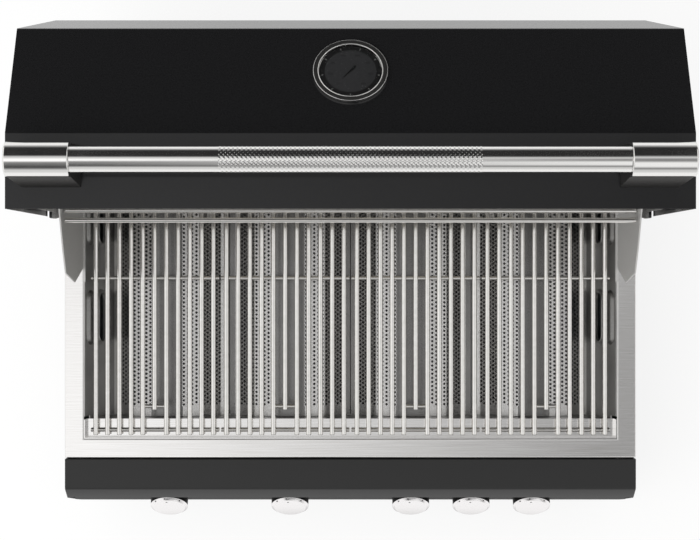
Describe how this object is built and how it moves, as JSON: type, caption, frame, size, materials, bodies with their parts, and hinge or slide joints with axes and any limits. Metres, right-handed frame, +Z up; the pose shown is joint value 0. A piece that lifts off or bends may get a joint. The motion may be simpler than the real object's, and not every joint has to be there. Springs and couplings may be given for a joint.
{
  "type": "built-in gas grill",
  "caption": "Drop-in gas grill with lift-out grates over perforated heat plates, a tilted knob panel, a warming rack, a slide-out drip tray and a hinged hood with a bar handle and thermometer.",
  "frame": {"origin": "centre of the base pan's flat underside", "axes": "+X to the right along the hinge line, +Y from the knob panel to the hood's hinge, +Z up; the rest pose is the pictured one, hood open"},
  "size_m": [0.914, 0.7914, 0.8288],
  "materials": {
    "brushed_stainless": "brushed along the width",
    "polished_stainless": "polished",
    "liner_stainless": "plain mill finish",
    "galvanised_steel": "galvanised",
    "black_enamel": "glossy enamel",
    "black_panel_paint": "satin paint",
    "knob_black": "moulded, with a polished metal face",
    "black_plastic": "moulded",
    "valve_brass": "machined",
    "burner_ceramic": "porous tile in a steel frame",
    "dial_paint": "matt",
    "needle_paint": "matt",
    "clear_glass": "clear"
  },
  "bodies": {
    "grill_body": {"top_frame": "brushed_stainless", "front_grate_ledge": "brushed_stainless", "rear_grate_ledge": "brushed_stainless", "firebox_liner": "liner_stainless", "outer_casing": "galvanised_steel", "base_pan": "galvanised_steel", "control_panel": "black_panel_paint", "gas_manifold": "valve_brass", "rear_burner_gas_tube": "brushed_stainless", "ignition_box": "black_plastic", "gas_valve_1": "valve_brass", "gas_valve_2": "valve_brass", "gas_valve_3": "valve_brass", "gas_valve_4": "valve_brass", "gas_valve_5": "valve_brass", "burner_1": "liner_stainless", "burner_2": "liner_stainless", "burner_3": "liner_stainless", "burner_4": "liner_stainless", "side_plate_left": "brushed_stainless", "side_plate_right": "brushed_stainless", "rear_housing": "brushed_stainless", "rear_infrared_burner": "burner_ceramic", "hinge_pin_left": "polished_stainless", "hinge_pin_right": "polished_stainless", "tray_runner_left": "galvanised_steel", "tray_runner_right": "galvanised_steel"},
    "hood": {"hood_shell": "black_enamel", "hood_liner": "liner_stainless", "hinge_arm_left": "black_enamel", "hinge_arm_right": "black_enamel", "handle_bar": "polished_stainless", "handle_bracket_left": "polished_stainless", "handle_bracket_right": "polished_stainless", "thermometer_case": "polished_stainless", "thermometer_dial": "dial_paint", "thermometer_glass": "clear_glass", "thermometer_probe": "polished_stainless"},
    "needle": {"thermometer_needle": "needle_paint"},
    "stem_1": {"valve_stem_1": "valve_brass"},
    "stem_2": {"valve_stem_2": "valve_brass"},
    "stem_3": {"valve_stem_3": "valve_brass"},
    "stem_4": {"valve_stem_4": "valve_brass"},
    "stem_5": {"valve_stem_5": "valve_brass"},
    "knob_1": {"knob_1": "knob_black"},
    "knob_2": {"knob_2": "knob_black"},
    "knob_3": {"knob_3": "knob_black"},
    "knob_4": {"knob_4": "knob_black"},
    "knob_5": {"knob_5": "knob_black"},
    "grate_1": {"cooking_grate_1": "polished_stainless"},
    "grate_2": {"cooking_grate_2": "polished_stainless"},
    "grate_3": {"cooking_grate_3": "polished_stainless"},
    "grate_4": {"cooking_grate_4": "polished_stainless"},
    "plate_1": {"heat_plate_1": "liner_stainless"},
    "plate_2": {"heat_plate_2": "liner_stainless"},
    "plate_3": {"heat_plate_3": "liner_stainless"},
    "plate_4": {"heat_plate_4": "liner_stainless"},
    "rack": {"warming_rack": "polished_stainless"},
    "tray": {"drip_tray": "liner_stainless", "drip_tray_front": "brushed_stainless"}
  },
  "joints": [
    {"name": "hood_hinge", "type": "hinge", "parent": "grill_body", "child": "hood", "pos_m": [0, 0.1407, 0.3127], "axis": [1, 0, 0], "range_deg": [0, 90]},
    {"name": "needle_turn", "type": "hinge", "parent": "hood", "child": "needle", "pos_m": [0, 0.26724, 0.7014], "axis": [0, -0.5, -0.866], "range_deg": [0, 280]},
    {"name": "knob_push_1", "type": "slide", "parent": "grill_body", "child": "stem_1", "axis": [0, 0.8321, -0.5547], "range_m": [0, 0.003], "stiffness_N_per_m": 900},
    {"name": "knob_turn_1", "type": "hinge", "parent": "stem_1", "child": "knob_1", "pos_m": [-0.29625, -0.36319, 0.17346], "axis": [0, -0.8321, 0.5547], "range_deg": [0, 225]},
    {"name": "knob_push_2", "type": "slide", "parent": "grill_body", "child": "stem_2", "axis": [0, 0.8321, -0.5547], "range_m": [0, 0.003], "stiffness_N_per_m": 900},
    {"name": "knob_turn_2", "type": "hinge", "parent": "stem_2", "child": "knob_2", "pos_m": [-0.09875, -0.36319, 0.17346], "axis": [0, -0.8321, 0.5547], "range_deg": [0, 225]},
    {"name": "knob_push_3", "type": "slide", "parent": "grill_body", "child": "stem_3", "axis": [0, 0.8321, -0.5547], "range_m": [0, 0.003], "stiffness_N_per_m": 900},
    {"name": "knob_turn_3", "type": "hinge", "parent": "stem_3", "child": "knob_3", "pos_m": [0.09875, -0.36319, 0.17346], "axis": [0, -0.8321, 0.5547], "range_deg": [0, 225]},
    {"name": "knob_push_4", "type": "slide", "parent": "grill_body", "child": "stem_4", "axis": [0, 0.8321, -0.5547], "range_m": [0, 0.003], "stiffness_N_per_m": 900},
    {"name": "knob_turn_4", "type": "hinge", "parent": "stem_4", "child": "knob_4", "pos_m": [0.1975, -0.36319, 0.17346], "axis": [0, -0.8321, 0.5547], "range_deg": [0, 225]},
    {"name": "knob_push_5", "type": "slide", "parent": "grill_body", "child": "stem_5", "axis": [0, 0.8321, -0.5547], "range_m": [0, 0.003], "stiffness_N_per_m": 900},
    {"name": "knob_turn_5", "type": "hinge", "parent": "stem_5", "child": "knob_5", "pos_m": [0.29625, -0.36319, 0.17346], "axis": [0, -0.8321, 0.5547], "range_deg": [0, 225]},
    {"name": "grate_lift_1", "type": "slide", "parent": "grill_body", "child": "grate_1", "axis": [0, 0, 1], "range_m": [0, 0.11]},
    {"name": "grate_lift_2", "type": "slide", "parent": "grill_body", "child": "grate_2", "axis": [0, 0, 1], "range_m": [0, 0.11]},
    {"name": "grate_lift_3", "type": "slide", "parent": "grill_body", "child": "grate_3", "axis": [0, 0, 1], "range_m": [0, 0.11]},
    {"name": "grate_lift_4", "type": "slide", "parent": "grill_body", "child": "grate_4", "axis": [0, 0, 1], "range_m": [0, 0.11]},
    {"name": "plate_lift_1", "type": "slide", "parent": "grill_body", "child": "plate_1", "axis": [0, 0, 1], "range_m": [0, 0.035]},
    {"name": "plate_lift_2", "type": "slide", "parent": "grill_body", "child": "plate_2", "axis": [0, 0, 1], "range_m": [0, 0.035]},
    {"name": "plate_lift_3", "type": "slide", "parent": "grill_body", "child": "plate_3", "axis": [0, 0, 1], "range_m": [0, 0.035]},
    {"name": "plate_lift_4", "type": "slide", "parent": "grill_body", "child": "plate_4", "axis": [0, 0, 1], "range_m": [0, 0.035]},
    {"name": "rack_lift", "type": "slide", "parent": "grill_body", "child": "rack", "axis": [0, 0, 1], "range_m": [0, 0.03]},
    {"name": "tray_slide", "type": "slide", "parent": "grill_body", "child": "tray", "axis": [0, -1, 0], "range_m": [0, 0.45]}
  ]
}
